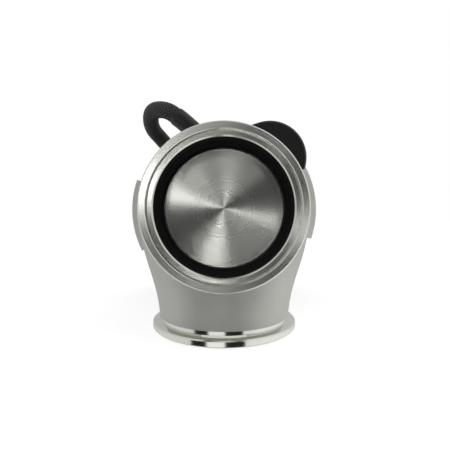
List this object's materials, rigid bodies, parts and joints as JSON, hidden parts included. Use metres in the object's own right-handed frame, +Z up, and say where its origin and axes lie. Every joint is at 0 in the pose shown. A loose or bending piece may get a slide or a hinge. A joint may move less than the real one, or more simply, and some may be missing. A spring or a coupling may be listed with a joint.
{
  "type": "turbo wastegate",
  "caption": "60 mm class external turbo wastegate with V-band inlet and outlet, opened by an electric motor, gear pair and lead screw.",
  "frame": {"origin": "centre of the outlet flange's face", "axes": "+Z up along the outlet axis, +Y along the valve axis from the inlet to the actuator, +X to the right seen from the inlet"},
  "size_m": [0.1183, 0.16, 0.1391],
  "materials": {
    "cast_steel": "matte",
    "turned_steel": "satin",
    "black_aluminium": "satin",
    "plain_aluminium": "satin",
    "bronze": "satin",
    "graphite": "matte",
    "ptfe": "satin",
    "nylon": "satin",
    "bearing_steel": "polished",
    "spring_steel": "satin",
    "motor_metal": "satin",
    "magnet": "matte",
    "board": "satin",
    "black_plastic": "matte",
    "gland_metal": "satin",
    "braid": "matte",
    "heat_shrink": "satin",
    "black_screw": "satin",
    "bracket_steel": "satin"
  },
  "bodies": {
    "body": {"bearing_carrier": "plain_aluminium", "body_gasket": "graphite", "bracket_screw_1": "black_screw", "bracket_screw_2": "black_screw", "carrier_screw_1": "black_screw", "carrier_screw_2": "black_screw", "carrier_screw_3": "black_screw", "circuit_board": "board", "clamp_screw_1": "black_screw", "clamp_screw_2": "black_screw", "connector_bracket": "bracket_steel", "cover_screw_1": "black_screw", "cover_screw_2": "black_screw", "cover_screw_3": "black_screw", "cover_screw_4": "black_screw", "cover_screw_5": "black_screw", "cover_screw_6": "black_screw", "driver_chip": "black_plastic", "front_bearing": "bearing_steel", "gear_cover": "black_aluminium", "gear_housing": "black_aluminium", "gland_body": "gland_metal", "gland_nut": "gland_metal", "guide_tube": "bearing_steel", "heat_collar": "plain_aluminium", "long_bolt_1": "black_screw", "long_bolt_2": "black_screw", "long_bolt_3": "black_screw", "long_bolt_4": "black_screw", "loom": "braid", "loom_boot": "heat_shrink", "loom_connector": "black_plastic", "motor_can": "motor_metal", "motor_clamp": "motor_metal", "motor_end_cap": "motor_metal", "motor_front_bearing": "bearing_steel", "motor_magnet_1": "magnet", "motor_magnet_2": "magnet", "motor_rear_bearing": "bearing_steel", "position_sensor": "black_plastic", "rear_bearing": "bearing_steel", "return_spring": "spring_steel", "seal_cap": "turned_steel", "seat_ring": "turned_steel", "stem_seal": "graphite", "stem_wiper": "ptfe", "valve_body": "cast_steel", "valve_guide": "bronze"},
    "gear": {"drive_gear": "nylon", "drive_nut": "bronze"},
    "motor": {"motor_pinion": "bearing_steel", "motor_rotor": "motor_metal", "motor_shaft": "bearing_steel", "motor_commutator": "bronze"},
    "valve": {"valve": "turned_steel", "lead_screw": "turned_steel", "stop_pin": "bearing_steel", "position_magnet": "bearing_steel", "spring_seat": "turned_steel"}
  },
  "joints": [
    {"name": "drive_gear_spin", "type": "hinge", "parent": "body", "child": "gear", "pos_m": [0, 0.1, 0.0645], "axis": [0, 1, 0], "range_deg": [0, 720]},
    {"name": "motor_spin", "type": "hinge", "parent": "body", "child": "motor", "pos_m": [0.03347, 0.1, 0.10397], "axis": [0, 1, 0], "range_deg": [-3102, 0]},
    {"name": "valve_lift", "type": "slide", "parent": "body", "child": "valve", "axis": [0, 1, 0], "range_m": [0, 0.01601], "deforming": ["return_spring"]}
  ],
  "couplings": [
    {"joint": "motor_spin", "follows": "drive_gear_spin", "ratio": -4.3077},
    {"joint": "valve_lift", "follows": "drive_gear_spin", "m_per_rad": 0.0012732}
  ]
}
